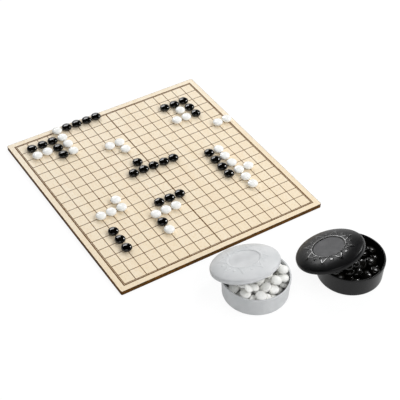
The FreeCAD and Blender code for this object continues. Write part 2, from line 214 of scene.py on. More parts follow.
def closed_faces(rings, segments):
    """Faces of a closed skin: a first pole, rings of points round an axis, and a last pole.
    Neighbouring rings are joined by quads and each pole to its ring by triangles, facing outwards
    where the rings run from below, round the outside, to the top."""
    here = np.arange(segments)
    after = (here + 1) % segments
    start = 1 + segments * np.arange(rings)
    first = np.stack([np.zeros_like(here), 1 + after, 1 + here], axis=1)
    last = np.stack([np.full_like(here, start[-1] + segments), start[-1] + here, start[-1] + after], axis=1)
    return joined(start[:-1], start[1:], segments), np.concatenate([first, last])


def piece(name, points, quads, tris, materials, body, slot=None, nodes=(), which=0, last=0, **attributes):
    """A mesh object from arrays, which rides on a body and stands for CAD nodes. which gives the quads'
    materials by their places in the list, and last the triangles'. Each attribute gives every point a
    number that the material reads."""
    mesh = bpy.data.meshes.new(name)
    corners = np.concatenate([quads.ravel(), tris.ravel()])
    starts = np.concatenate([np.arange(len(quads)) * 4, quads.size + np.arange(len(tris)) * 3])
    mesh.vertices.add(len(points))
    mesh.vertices.foreach_set("co", np.asarray(points, np.float32).ravel())
    mesh.loops.add(len(corners))
    mesh.loops.foreach_set("vertex_index", corners.astype(np.int32))
    mesh.polygons.add(len(starts))
    mesh.polygons.foreach_set("loop_start", starts.astype(np.int32))
    mesh.update(calc_edges=True)
    mesh.validate()
    mesh.shade_smooth()
    for key, values in attributes.items():
        mesh.attributes.new(key, "FLOAT", "POINT").data.foreach_set("value", values.astype(np.float32))
    for material in materials:
        mesh.materials.append(material)
    choice = np.concatenate([np.broadcast_to(which, len(quads)), np.full(len(tris), last)])
    mesh.polygons.foreach_set("material_index", choice.astype(np.int32))
    made = bpy.data.objects.new(name, mesh)
    bpy.context.scene.collection.objects.link(made)
    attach(made, body)
    if nodes:
        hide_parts(*nodes)
    return made


def rounded(corners, steps=5):
    """A profile of straight runs with its inner corners rounded. corners holds (r, z, rounding) rows.
    Each corner gives way to an arc that touches both its runs: the arc's centre lies on the corner's
    bisector, and its points turn evenly from one touching point to the other. One point more on each
    run keeps the shading of the flat parts flat."""
    corners = np.array(corners, float)
    here, size = corners[1:-1, :2], corners[1:-1, 2:]
    back = corners[:-2, :2] - here
    on = corners[2:, :2] - here
    back /= np.linalg.norm(back, axis=1, keepdims=True)
    on /= np.linalg.norm(on, axis=1, keepdims=True)
    half = np.arccos(np.clip((back * on).sum(axis=1, keepdims=True), -1, 1)) / 2
    bisector = (back + on) / np.linalg.norm(back + on, axis=1, keepdims=True)
    centre = here + bisector * size / np.sin(half)
    reach = size / np.tan(half)
    first = (here + back * reach - centre)[:, None]
    last = (here + on * reach - centre)[:, None]
    sweep = (np.pi - 2 * half)[:, None]
    part = np.linspace(0, 1, steps + 1)[None, :, None]
    arc = centre[:, None] + (np.sin((1 - part) * sweep) * first + np.sin(part * sweep) * last) / np.sin(sweep)
    past = 1.15 * reach
    before = (here + back * past)[:, None]
    beyond = (here + on * past)[:, None]
    bends = np.concatenate([before, arc, beyond], axis=1).reshape(-1, 2)
    return np.concatenate([corners[:1, :2], bends, corners[-1:, :2]])


def bearings(segments):
    """Evenly spaced angles round a full turn."""
    return np.linspace(0, 2 * np.pi, segments, endpoint=False)


def turned(profile, segments, lift=0):
    """Points of a surface of revolution about Z, from pole to pole. Each profile point (r, z) becomes a
    ring (r cos t, r sin t, z + lift), where lift may differ from point to point."""
    turn = bearings(segments)
    radius, height = profile[1:-1, :1], profile[1:-1, 1:]
    rings = np.stack(np.broadcast_arrays(
        radius * np.cos(turn), radius * np.sin(turn), height + lift), axis=2).reshape(-1, 3)
    poles = np.zeros((2, 3))
    poles[:, 2] = profile[[0, -1], 1]
    return np.concatenate([poles[:1], rings, poles[1:]]), closed_faces(len(profile) - 2, segments)


def carried(profile, width, depth, corner, steps=6):
    """Points of a profile carried round a rounded rectangle. Each profile point is (inset, z): at the
    outline's corner centres c and bearings t it gives c + (corner - inset)(cos t, sin t)."""
    bearing = np.linspace(0, np.pi / 2, steps + 1) + np.arange(4)[:, None] * np.pi / 2
    sides = np.array([[1, 1], [-1, 1], [-1, -1], [1, -1]])
    centres = sides * (np.array([width, depth]) / 2 - corner)
    out = np.stack([np.cos(bearing), np.sin(bearing)], axis=2)
    inset, height = profile[:, 0], profile[:, 1]
    flat = centres[None, :, None] + (corner - inset)[:, None, None, None] * out[None]
    rings = flat.reshape(len(profile), -1, 2)
    level = np.broadcast_to(height[:, None, None], rings.shape[:2] + (1,))
    return np.concatenate([rings, level], axis=2)


def slab(base, top):
    """A veneer sheet in the board's outline with softened edges, from one height to another. Its sides and a
    thin border of its faces take the edge's dark colour."""
    soft, dark_border = EDGE_SOFTENING, DARK_BORDER
    profile = rounded([(dark_border, base, 0), (0, base, soft), (0, top, soft), (dark_border, top, 0)], steps=3)
    rings = carried(profile, *BOARD, BOARD_CORNER)
    poles = np.array([[0, 0, base], [0, 0, top]])
    points = np.concatenate([poles[:1], rings.reshape(-1, 3), poles[1:]])
    return points * MM, closed_faces(rings.shape[0], rings.shape[1])


def surface_of(node):
    """Corner points (triangles, 3, 3) of a CAD node's mesh, and for each triangle which of the node's
    separate skins it belongs to: triangles that share a corner point are one skin, so each point takes
    the lowest number among its triangles' points until nothing changes."""
    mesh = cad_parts[node].data
    places = np.empty(len(mesh.vertices) * 3)
    mesh.vertices.foreach_get("co", places)
    corners = np.empty(len(mesh.loops), np.int32)
    mesh.loops.foreach_get("vertex_index", corners)
    places = places.reshape(-1, 3)
    merged = np.unique(np.round(places, 6), axis=0, return_inverse=True)[1].ravel()
    shared = merged[corners].reshape(-1, 3)
    label = np.arange(merged.max() + 1)
    while True:
        lowest = label.copy()
        np.minimum.at(lowest, shared.ravel(), np.repeat(label[shared].min(axis=1), 3))
        lowest = lowest[lowest]
        if np.array_equal(lowest, label):
            break
        label = lowest
    skins = np.unique(label[shared[:, 0]], return_inverse=True)[1].ravel()
    return places[corners].reshape(-1, 3, 3), skins


def lie_of(node):
    """Centre and axis of each separate skin of a CAD node: the mean of its surface, weighted by area,
    and the direction in which that surface spreads least."""
    triangles, skins = surface_of(node)
    sides = triangles[:, 1:] - triangles[:, :1]
    area = np.linalg.norm(np.cross(sides[:, 0], sides[:, 1]), axis=1)
    middle = triangles.mean(axis=1)
    total = np.bincount(skins, area)[:, None]
    centre = np.stack([np.bincount(skins, area * middle[:, k]) for k in range(3)], axis=1) / total
    away = middle - centre[skins]
    pairs = [(i, j) for i in range(3) for j in range(3)]
    spread = np.stack([np.bincount(skins, area * away[:, i] * away[:, j]) for i, j in pairs], axis=1)
    axis = np.linalg.eigh(spread.reshape(-1, 3, 3))[1][:, :, 0]
    return centre, axis * np.where(axis[:, 2:] < 0, -1, 1)


def square_to(axis):
    """Two unit vectors square to each axis, which make a right-handed frame with it."""
    rough = np.where(np.abs(axis[:, :1]) < 0.7, [[1.0, 0, 0]], [[0, 1.0, 0]])
    side = np.cross(rough, axis)
    side /= np.linalg.norm(side, axis=1, keepdims=True)
    return side, np.cross(axis, side)


# ---- Materials -----------------------------------------------------------------------------------
def add(tree, kind, inputs=(), into=None, **settings):
    """Adds a node with its settings and links. inputs gives each input a value, or the output that feeds
    it, and into is the input that the node's own first output feeds."""
    node = tree.nodes.new(kind)
    for key, value in settings.items():
        setattr(node, key, value)
    for key, value in dict(inputs).items():
        socket = node.inputs[key]
        if isinstance(value, bpy.types.NodeSocket):
            tree.links.new(value, socket)
        elif socket.type == "RGBA":
            socket.default_value = (*value[:3], 1)
        else:
            socket.default_value = value
    if into is not None:
        tree.links.new(node.outputs[0], into)
    return node


def finish_of(name, **constants):
    """A new material with a Principled shader. Its constants are set on the shader's own sockets."""
    material = bpy.data.materials.new(name)
    material.use_nodes = True
    tree = material.node_tree
    tree.nodes.clear()
    values = {key.replace("_", " "): value for key, value in constants.items()}
    shader = add(tree, "ShaderNodeBsdfPrincipled", values)
    add(tree, "ShaderNodeOutputMaterial", {"Surface": shader.outputs["BSDF"]})
    return material, tree, shader


def pattern(tree, cell, detail, roughness, seed=0.0):
    """Noise in the object's own space whose patches are about as large as cell, in millimetres."""
    place = add(tree, "ShaderNodeTexCoord")
    scale = tuple(1 / (size * MM) for size in cell)
    spread = add(tree, "ShaderNodeMapping", {
        "Vector": place.outputs["Object"], "Scale": scale, "Location": (seed, seed, seed)})
    noise = add(tree, "ShaderNodeTexNoise", {
        "Vector": spread.outputs["Vector"], "Scale": 1.0, "Detail": detail, "Roughness": roughness})
    return noise.outputs["Fac"]


def between(tree, factor, low, high, start, end):
    """Colour that runs from low to high as the factor runs from start to end."""
    part = add(tree, "ShaderNodeMapRange", {"Value": factor, "From Min": start, "From Max": end})
    mix = add(tree, "ShaderNodeMix", {0: part.outputs["Result"], 6: low, 7: high}, data_type="RGBA")
    return mix.outputs[2]


def veneer_finish(settings):
    """Basswood veneer, sliced, sanded and sprayed with satin lacquer: pale and almost plain, with
    straight fine grain that runs from the front edge to the back."""
    material, tree, shader = finish_of("basswood_veneer_satin_lacquer", IOR=1.5, Specular_IOR_Level=0.35)
    # Grain is 0.5 mm wide in the wood; at 1.6 mm it still shows from where the whole board is seen.
    grain = pattern(tree, (1.6, 90.0, 1.6), detail=4.0, roughness=0.6)
    # Growth bands are 26 mm wide and 300 mm long, and the wood's own tone drifts over 45 to 60 mm.
    bands = pattern(tree, (26.0, 300.0, 26.0), detail=2.0, roughness=0.5, seed=7.0)
    patches = pattern(tree, (60.0, 45.0, 60.0), detail=1.0, roughness=0.5, seed=3.0)
    fine = between(tree, grain, tuple(settings.veneer), tuple(settings.veneer_warm), start=0.38, end=0.85)
    broad = between(tree, bands, linear("#EFDFC6"), linear("#F5EBDA"), start=0.3, end=0.7)
    both = add(tree, "ShaderNodeMix", {0: 0.45, 6: fine, 7: broad}, data_type="RGBA")
    warm = between(tree, patches, both.outputs[2], linear("#F0DCC3"), start=0.55, end=1.1)
    # Pores are 0.3 mm long dashes in the wood; as flecks of 2.2 by 4.5 mm they still show as a fine mottle.
    pores = pattern(tree, (2.2, 4.5, 2.2), detail=1.0, roughness=0.5, seed=9.0)
    flecks = add(tree, "ShaderNodeMapRange", {
        "Value": pores, "From Min": 0.5, "From Max": 0.75, "To Min": 0.0, "To Max": 0.6})
    flecked = add(tree, "ShaderNodeMix", {
        0: flecks.outputs["Result"], 6: warm, 7: linear("#E2C79C")}, data_type="RGBA")
    # Painted shade: the veneer's colour runs warmer and darker towards the front edge.
    place = add(tree, "ShaderNodeTexCoord")
    along = add(tree, "ShaderNodeSeparateXYZ", {"Vector": place.outputs["Object"]})
    reach = BOARD[1] / 2 * MM
    painted_front_shade = add(tree, "ShaderNodeMapRange", {
        "Value": along.outputs["Y"], "From Min": -reach, "From Max": reach, "To Min": 0.25, "To Max": 0.0})
    toned = add(tree, "ShaderNodeMix", {
        0: painted_front_shade.outputs["Result"], 6: flecked.outputs[2], 7: linear("#E9CFA2")}, data_type="RGBA")
    tree.links.new(toned.outputs[2], shader.inputs["Base Color"])
    add(tree, "ShaderNodeMapRange", {
        "Value": grain, "From Min": 0.3, "From Max": 0.7, "To Min": 0.48, "To Max": 0.6},
        into=shader.inputs["Roughness"])
    add(tree, "ShaderNodeBump", {"Height": grain, "Distance": 0.03 * MM, "Strength": 0.35},
        into=shader.inputs["Normal"])
    return material


def edge_finish(settings):
    """Hardwood edge band, rubbed with a dark brown stain: streaks run along the edge and the stain lies
    unevenly in them, almost without sheen."""
    material, tree, shader = finish_of("stained_hardwood_edge", IOR=1.48, Specular_IOR_Level=0.05)
    # Streaks follow the grain, 1.1 mm apart and 38 mm long, and the stain's blots are 6 to 9 mm across.
    streaks = pattern(tree, (38.0, 38.0, 1.1), detail=5.0, roughness=0.65)
    blots = pattern(tree, (9.0, 9.0, 6.0), detail=2.0, roughness=0.5, seed=5.0)
    dark = between(tree, streaks, linear("#2E1B06"), tuple(settings.edge), start=0.3, end=0.6)
    stained = between(tree, blots, dark, tuple(settings.edge_streak), start=0.5, end=0.85)
    tree.links.new(stained, shader.inputs["Base Color"])
    add(tree, "ShaderNodeMapRange", {
        "Value": streaks, "From Min": 0.3, "From Max": 0.7, "To Min": 0.42, "To Max": 0.62},
        into=shader.inputs["Roughness"])
    add(tree, "ShaderNodeBump", {"Height": streaks, "Distance": 0.08 * MM, "Strength": 0.5},
        into=shader.inputs["Normal"])
    return material


def core_finish():
    """Medium density fibreboard, pressed: brown felted fibres, quite matt."""
    material, tree, shader = finish_of("pressed_fibreboard", IOR=1.45, Roughness=0.85)
    # Bundles of fibres lie flat, 1.5 mm long and 0.6 mm thick.
    fibres = pattern(tree, (1.5, 1.5, 0.6), detail=4.0, roughness=0.6)
    felted = between(tree, fibres, linear("#8A6A45"), linear("#A98558"), start=0.35, end=0.65)
    tree.links.new(felted, shader.inputs["Base Color"])
    add(tree, "ShaderNodeBump", {"Height": fibres, "Distance": 0.1 * MM, "Strength": 0.5},
        into=shader.inputs["Normal"])
    return material


def ink_finish(settings):
    """Screen printing ink, cured: a thin dark film, duller than the lacquer, a little uneven where the
    screen's mesh let less through."""
    material, tree, shader = finish_of("screen_printed_ink", IOR=1.5, Specular_IOR_Level=0.08)
    # The screen's mesh is 0.1 mm; its thin patches are drawn 3 mm across, so that they still show.
    cover = pattern(tree, (3.0, 3.0, 3.0), detail=3.0, roughness=0.6)
    shade = between(tree, cover, tuple(settings.ink), linear("#62400E"), start=0.35, end=0.65)
    tree.links.new(shade, shader.inputs["Base Color"])
    add(tree, "ShaderNodeMapRange", {
        "Value": cover, "From Min": 0.3, "From Max": 0.7, "To Min": 0.6, "To Max": 0.75},
        into=shader.inputs["Roughness"])
    return material


def plastic_finish(name, main, worn, dull, shine):
    """Polystyrene, injection moulded: a satin ground from a blasted mould, an even body colour with a
    faint flow of lighter and darker shade, and slight waves where it sank as it cooled. The same plastic
    from the polished parts of the mould is bright and smooth."""
    material, tree, shader = finish_of(name, IOR=1.55, Specular_IOR_Level=shine)
    # The flow and the sinks are about 30 mm across, and the scuffs from handling 9 mm.
    flow = pattern(tree, (30.0, 30.0, 30.0), detail=2.0, roughness=0.5)
    scuffs = pattern(tree, (9.0, 9.0, 9.0), detail=4.0, roughness=0.6, seed=4.0)
    tree.links.new(between(tree, flow, main, worn, start=0.35, end=0.65), shader.inputs["Base Color"])
    add(tree, "ShaderNodeMapRange", {
        "Value": scuffs, "From Min": 0.3, "From Max": 0.7, "To Min": dull * 0.9, "To Max": dull * 1.1},
        into=shader.inputs["Roughness"])
    add(tree, "ShaderNodeBump", {"Height": flow, "Distance": 0.15 * MM, "Strength": 0.3},
        into=shader.inputs["Normal"])
    return material


def glass_finish(name, main, other, dull, **constants):
    """Pressed glass, fire polished: a bright even gloss on a full body colour, which differs slightly
    from stone to stone, and a faint ripple from the press."""
    material, tree, shader = finish_of(name, IOR=1.52, Roughness=dull, **constants)
    tone = add(tree, "ShaderNodeAttribute", attribute_name="tone")
    # The ripple's waves are 5 mm long.
    ripple = pattern(tree, (5.0, 5.0, 5.0), detail=2.0, roughness=0.5)
    body = between(tree, tone.outputs["Fac"], main, other, start=0.0, end=1.0)
    tree.links.new(body, shader.inputs["Base Color"])
    add(tree, "ShaderNodeBump", {"Height": ripple, "Distance": 0.05 * MM, "Strength": 0.2},
        into=shader.inputs["Normal"])
    return material


# ---- Board ---------------------------------------------------------------------------------------
def rows(x, y, z):
    """Points (x, y, z) from three lists of coordinates, of which a single number serves every point."""
    return np.stack(np.broadcast_arrays(x, y, z), axis=1)


def bars(low, high):
    """Thin closed boxes between two lists of opposite corners."""
    pick = np.array([[0, 0, 0], [1, 0, 0], [1, 1, 0], [0, 1, 0], [0, 0, 1], [1, 0, 1], [1, 1, 1], [0, 1, 1]])
    sides = np.array([[0, 3, 2, 1], [4, 5, 6, 7], [0, 1, 5, 4], [1, 2, 6, 5], [2, 3, 7, 6], [3, 0, 4, 7]])
    points = np.where(pick[None] == 0, low[:, None], high[:, None])
    quads = sides[None] + 8 * np.arange(len(low))[:, None, None]
    return points.reshape(-1, 3), quads.reshape(-1, 4)


def copies(quads, tris, size, count):
    """Faces of a shape and of its copies, where each copy's points follow those of the one before."""
    step = size * np.arange(count)[:, None, None]
    return (quads[None] + step).reshape(-1, 4), (tris[None] + step).reshape(-1, 3)


def star_points(settings, foot, head):
    """Thin discs of the nine star points, near the corners, on the middle lines and in the middle."""
    middle = (LINES - 1) / 2
    at = np.array([STAR_LINE - middle, 0, middle - STAR_LINE])
    across, along = np.meshgrid(at * PITCH[0], at * PITCH[1])
    places = rows(across.ravel(), along.ravel(), 0)
    radius = settings.star_width / MM / 2
    points, faces = turned(np.array([[0, foot], [radius, foot], [radius, head], [0, head]]), DOT_SEGMENTS)
    return (places[:, None] + points[None]).reshape(-1, 3), *copies(*faces, len(points), len(places))


def printed_lines(settings):
    """Surfaces of the printed grid: the lines each way with a heavier middle one, a heavy line round them,
    and the star points. Each set lies a step over the one it crosses."""
    middle = (LINES - 1) / 2
    at = np.arange(LINES) - middle
    reach = middle * np.array(PITCH)
    half = np.full(LINES, settings.line_width / MM / 2)
    heavy = half.copy()
    heavy[LINES // 2] = settings.middle_width / MM / 2
    x, y = at * PITCH[0], at * PITCH[1]
    end_x, end_y = reach + half[0]
    foot = BOARD_TOP - INK_ROOT
    head = BOARD_TOP + INK_FILM + INK_STEP * np.arange(4)
    gap = settings.frame_gap / MM
    wide = settings.frame_width / MM / 2
    (in_x, in_y), (out_x, out_y) = reach + gap - wide, reach + gap + wide
    low = np.concatenate([
        rows(x - heavy, -end_y, foot),
        rows([-out_x, -out_x, -out_x, in_x], [-out_y, in_y, -in_y, -in_y], foot),
        rows(-end_x, y - half, foot)])
    high = np.concatenate([
        rows(x + heavy, end_y, head[0]),
        rows([out_x, out_x, -in_x, out_x], [-in_y, out_y, in_y, in_y], head[1]),
        rows(end_x, y + half, head[2])])
    points, quads = bars(low, high)
    dots, sides, caps = star_points(settings, foot, head[3])
    return np.concatenate([points, dots]), np.concatenate([quads, sides + len(points)]), caps + len(points)


class GOSET_OT_board(bpy.types.Operator):
    """Builds the veneers, the edge band and the printed grid"""
    bl_idname = "goset.board"
    bl_label = "Board"

    def execute(self, context):
        settings = context.scene.goset_board
        finishes = [veneer_finish(settings), edge_finish(settings)]
        for name, base, node in (("playing_face", BOARD_TOP - VENEER, "playing_veneer"),
                                 ("backing_face", 0.0, "backing_veneer")):
            points, (quads, tris) = slab(base, base + VENEER)
            piece(name, points, quads, tris, finishes, "board", "veneer", [node], which=1)

        soft = EDGE_SOFTENING
        profile = rounded([
            (BAND / 2, VENEER, 0), (0, VENEER, soft), (0, VENEER + CORE, soft),
            (BAND, VENEER + CORE, soft), (BAND, VENEER, soft), (BAND / 2, VENEER, 0)], steps=2)[:-1]
        rings = carried(profile, *BOARD, BOARD_CORNER)
        count, segments = rings.shape[:2]
        start = segments * np.arange(count)
        quads = joined(start, np.roll(start, -1), segments)
        none = np.zeros((0, 3), int)
        piece("edge_band", rings.reshape(-1, 3) * MM, quads, none, finishes[1:], "board",
              "edge_band", ["board_edge_band"])

        points, quads, tris = printed_lines(settings)
        grid = piece("printed_lines", points * MM, quads, tris, [ink_finish(settings)], "board")
        grid.data.shade_flat()

        # The core doesn't show, so the CAD node itself takes a finish.
        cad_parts["board_core"].material_slots[0].material = core_finish()
        return {"FINISHED"}


# ---- Stones --------------------------------------------------------------------------------------
def stone_profile(settings, dome_steps, rim_steps):
    """Half outline of a stone by the angle p of its outward normal from the rim's plane. On the rim,
    r = m + q cos p and z = q sin p, with q the rim's rounding and m the radius less q. On the domes,
    r = R cos p and z = R sin p less the dome centre's height, with R such that the two parts meet."""
    radius, half = settings.diameter / 2, settings.thickness / 2
    rim = settings.rim
    ring = radius - rim
    dome = (half**2 + ring**2 - rim**2) / (2 * (half - rim))
    drop = dome - half
    start = math.asin(drop / (dome - rim))
    domes = np.linspace(start, np.pi / 2, dome_steps + 1)
    edge = np.linspace(-start, start, rim_steps + 1)[1:-1]
    angle = np.concatenate([-domes[::-1], edge, domes])
    on_dome = np.abs(angle) >= start
    across = np.where(on_dome, dome * np.cos(angle), ring + rim * np.cos(angle))
    up = np.where(on_dome, dome * np.sin(angle) - np.sign(angle) * drop, rim * np.sin(angle))
    return np.stack([across, up], axis=1)


def stones(name, node, body, material, slot, settings, dome_steps, rim_steps, segments):
    """All the stones of a CAD node as one piece: each takes the centre and axis of one of its solids."""
    centre, axis = lie_of(node)
    side, other = square_to(axis)
    points, (quads, tris) = turned(stone_profile(settings, dome_steps, rim_steps), segments)
    frames = np.stack([side, other, axis], axis=1)
    placed = centre[:, None] + points[None] @ frames
    tone = np.random.default_rng(len(centre)).random(len(centre)).repeat(len(points))
    piece(name, placed.reshape(-1, 3), *copies(quads, tris, len(points), len(centre)),
          [material], body, slot, [node], tone=tone)


def glass(settings, state="", dulled=0.0):
    """The two kinds of glass of the stones. Stones that rub against each other in a tub are duller, which
    spreads their highlights."""
    return {
        "black": glass_finish(
            f"black_pressed_glass{state}", tuple(settings.black), linear("#0A0907"), 0.08 + dulled),
        "white": glass_finish(
            f"opal_pressed_glass{state}", tuple(settings.white), linear("#F4F4F0"), 0.16 + dulled,
            Subsurface_Weight=0.4, Subsurface_Radius=(1.0, 1.0, 1.0), Subsurface_Scale=1.5 * MM),
    }


class GOSET_OT_played_stones(bpy.types.Operator):
    """Builds the stones of the position on the board"""
    bl_idname = "goset.played_stones"
    bl_label = "Stones on the Board"

    def execute(self, context):
        settings = context.scene.goset_stones
        finishes = glass(settings)
        for node in sorted(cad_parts):
            if "_stone" in node and not node.endswith("_in_tub"):
                kind = node.split("_")[0]
                stones(f"{node}_glass", node, node, finishes[kind], f"{kind}_stone", settings, **PLAYED_STONE)
        return {"FINISHED"}


class GOSET_OT_kept_stones(bpy.types.Operator):
    """Builds the stones heaped in the two tubs"""
    bl_idname = "goset.kept_stones"
    bl_label = "Stones in the Tubs"

    def execute(self, context):
        settings = context.scene.goset_stones
        finishes = glass(settings, state="_rubbed", dulled=0.18)
        for kind in ("black", "white"):
            node = f"{kind}_stones_in_tub"
            stones(f"{node}_glass", node, f"{kind}_heap", finishes[kind], f"{kind}_stone", settings,
                   **KEPT_STONE)
        return {"FINISHED"}


# ---- Tubs and lids -------------------------------------------------------------------------------
def plastics(settings, kind, *states):
    """Finishes of the black or the white polystyrene: satin, polished, or matt from the dish's coarsely
    blasted steel. The black matt is painted a lighter grey, a painted sheen on the dish."""
    black, white, grey = tuple(settings.black), tuple(settings.white), linear("#C8CACB")
    # The two shades that each runs between, its roughness and its specular level.
    finishes = {
        "black_satin": (black, linear("#0E0E0F"), 0.3, 0.18),
        "black_polished": (black, linear("#111112"), 0.08, 0.6),
        # Painted sheen: the black matt's two shades are a lighter grey than the black plastic.
        "black_matt": (linear("#2E2E31"), linear("#343437"), 0.5, 0.5),
        "white_satin": (white, grey, 0.45, 0.3),
        "white_polished": (white, grey, 0.32, 0.4),
        "white_matt": (linear("#C4C5C6"), white, 0.55, 0.3),
    }
    return [plastic_finish(f"{kind}_polystyrene_{state}", *finishes[f"{kind}_{state}"]) for state in states]


def tub_profile():
    """Outline of a tub from the middle of its underside, up the outside, over the mouth and down to the
    middle of its floor. The underside stands on a foot ring."""
    bead_height, bead_step = BEAD
    wall_top = RIM_RADIUS - bead_step
    wall_base = wall_top - TAPER
    bead_foot = TUB_HEIGHT - bead_height
    return rounded([
        (0, FOOT_RECESS, 0),
        (wall_base - FOOT_RING[0], FOOT_RECESS, 0.25),
        (wall_base - FOOT_RING[1], 0, 0.35),
        (wall_base, 0, BASE_ROUNDING[0]),
        (wall_top, bead_foot + BEAD_SLOPE[0], 0.25),
        (RIM_RADIUS, bead_foot + BEAD_SLOPE[1], 0.3),
        (RIM_RADIUS, TUB_HEIGHT, RIM_ROUNDING),
        (wall_top - WALL, TUB_HEIGHT, RIM_ROUNDING),
        (wall_base - WALL, FLOOR, BASE_ROUNDING[1]),
        (0, FLOOR, 0),
    ], steps=7)


def lid_profile():
    """Outline of a lid from the middle of its underside to the middle of its top. The dome is an arc
    that leaves the dish's edge level and runs into the shoulder's rounding; with A its run and B its
    rise to the shoulder's centre, less the rounding, it slopes by twice the arc tangent of B / A."""
    dish_radius, dish_depth = DISH
    plug_inner, plug_outer, plug_depth = PLUG
    edge = dish_radius + dish_depth
    run = LID_RADIUS - LID_SHOULDER - edge
    rise = LID_HEIGHT - LID_BAND - LID_SHOULDER
    slope = 2 * math.atan2(rise, run)
    dome = run / math.sin(slope) + LID_SHOULDER
    level = LID_HEIGHT - dome
    roof = LID_HEIGHT - dish_depth - WALL
    inner = dome - WALL
    roof_slope = math.acos((roof - level) / inner)
    eaves_slope = math.asin((plug_inner - edge) / inner)

    under = np.linspace(roof_slope, eaves_slope, LID_CEILING_STEPS)[:, None]
    ceiling = np.concatenate([edge + inner * np.sin(under), level + inner * np.cos(under)], axis=1)
    below = rounded([
        (plug_inner, ceiling[-1, 1], 0),
        (plug_inner, -plug_depth, 0.4),
        (plug_outer, -plug_depth, 0.4),
        (plug_outer, 0, 0.2),
        (LID_RADIUS, 0, RIM_ROUNDING),
        (LID_RADIUS, LID_BAND, 0),
    ], steps=4)[1:]
    around = np.linspace(0, np.pi / 2 - slope, LID_SHOULDER_STEPS)[1:-1, None]
    shoulder = LID_SHOULDER * np.concatenate([np.cos(around), np.sin(around)], axis=1)
    shoulder += [LID_RADIUS - LID_SHOULDER, LID_BAND]
    low, high = RELIEF_BAND
    end = edge + dome * math.sin(slope)
    lip = edge + DISH_LIP
    radii = np.concatenate([
        np.linspace(end, high, LID_DOME_STEPS)[:-1], np.linspace(high, low, RELIEF_STEPS), [lip]])[:, None]
    top = np.concatenate([radii, level + np.sqrt(dome**2 - (radii - edge)**2)], axis=1)
    panel = LID_HEIGHT - dish_depth
    dish = rounded([
        (lip, LID_HEIGHT, 0), (edge, LID_HEIGHT, 0.25), (dish_radius, panel, 0.25),
        (dish_radius * 0.6, panel, 0)], steps=4)[1:]
    centre = [[dish_radius * 0.2, panel], [0, panel]]
    return np.concatenate([[[0, roof], [edge, roof]], ceiling, below, shoulder, top, dish, centre])


def ridge(distance, width):
    """Flat-topped raised line: 1 within half its width of a curve, less a steep side in which it falls
    smoothly to 0, as 3 s^2 - 2 s^3 with s the part of the side."""
    part = np.clip((width / 2 - distance) / RELIEF_SIDE, 0, 1)
    return part * part * (3 - 2 * part)


def ornament(radius, turn, leaves):
    """How far each point stands up, from 0 to 1, in a raised ring of pointed leaves round a rim line,
    with a seed between each two. With s the part of the way from a leaf's root to its tip, its outline
    stands spread (1 - s)^power to each side of its middle; a seed is a slanted oval."""
    root, tip, spread = LEAF
    circle, half_length, half_width, slant = SEED
    pitch = 2 * np.pi / leaves
    leaf = ((turn + pitch / 2) % pitch - pitch / 2) * radius
    gap = (turn % pitch - pitch / 2) * radius
    part = np.clip((radius - root) / (tip - root), 0, 0.999)
    side = spread * (1 - part)**LEAF_POWER
    steep = LEAF_POWER * spread / (tip - root) * (1 - part)**(LEAF_POWER - 1)
    past = np.abs(radius - np.clip(radius, root, tip))
    outline = np.abs(np.abs(leaf) - side) / np.sqrt(1 + steep**2) + past
    away = radius - circle
    seed = np.hypot((gap + slant * away) / half_length, (away - slant * gap) / half_width) * half_width
    rim = np.abs(radius - root)
    shapes = ridge(outline, LEAF_LINE), ridge(seed, 2 * half_width), ridge(rim, RIM_LINE)
    return np.maximum.reduce(np.broadcast_arrays(*shapes))


class GOSET_OT_tubs(bpy.types.Operator):
    """Builds the two tubs"""
    bl_idname = "goset.tubs"
    bl_label = "Tubs"

    def execute(self, context):
        for kind in ("black", "white"):
            low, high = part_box(f"{kind}_tub")
            points, (quads, tris) = turned(tub_profile(), TUB_SEGMENTS)
            place = np.array([(low.x + high.x) / 2, (low.y + high.y) / 2, 0])
            satin = plastics(context.scene.goset_tubs, kind, "satin")
            piece(f"{kind}_tub_moulded", points * MM + place, quads, tris, satin, f"{kind}_tub",
                  f"{kind}_plastic", [f"{kind}_tub"])
        return {"FINISHED"}


class GOSET_OT_lids(bpy.types.Operator):
    """Builds the two domed lids with their raised ornament, leaning as the CAD lids do"""
    bl_idname = "goset.lids"
    bl_label = "Lids"

    def execute(self, context):
        settings = context.scene.goset_tubs
        profile = lid_profile()
        radius, height = profile[1:-1, :1], profile[1:-1, 1:]
        low, high = RELIEF_BAND
        top = (height > LID_BAND + LID_SHOULDER) & (radius > low) & (radius < high)
        for kind in ("black", "white"):
            node = f"{kind}_lid"
            centre, axis = lie_of(node)
            side, other = square_to(axis)
            depth = (surface_of(node)[0].reshape(-1, 3) @ axis[0]).min()
            base = centre[0] + axis[0] * (depth + PLUG[2] * MM - centre[0] @ axis[0])
            turn = bearings(LID_SEGMENTS)[None] - math.radians(LEAF_TURN[kind])
            raised = ornament(radius, turn, settings.leaves) * top
            points, (quads, tris) = turned(profile, LID_SEGMENTS, raised * settings.relief / MM)
            placed = base + points * MM @ np.stack([side[0], other[0], axis[0]])
            share = np.concatenate([[0], raised.ravel(), [0]])[quads].mean(axis=1)
            in_dish = (height[1:, 0] > LID_HEIGHT - 2 * DISH[1]) & (radius[1:, 0] < DISH[0])
            finishes = plastics(settings, kind, "satin", "polished", "matt")
            piece(f"{node}_moulded", placed, quads, tris, finishes, node, f"{kind}_plastic", [node],
                  which=(share > POLISHED_FROM) + 2 * in_dish.repeat(LID_SEGMENTS), last=2)
        return {"FINISHED"}


# ---- Stage ---------------------------------------------------------------------------------------
def upright(out):
    """Turn of a lamp or camera that looks against a direction and stands upright: its side is square to
    the direction and to Z."""
    side = np.cross([0, 0, 1.0], out)
    side /= np.linalg.norm(side)
    return Matrix(np.stack([side, np.cross(out, side), out], axis=1).tolist()).to_4x4()


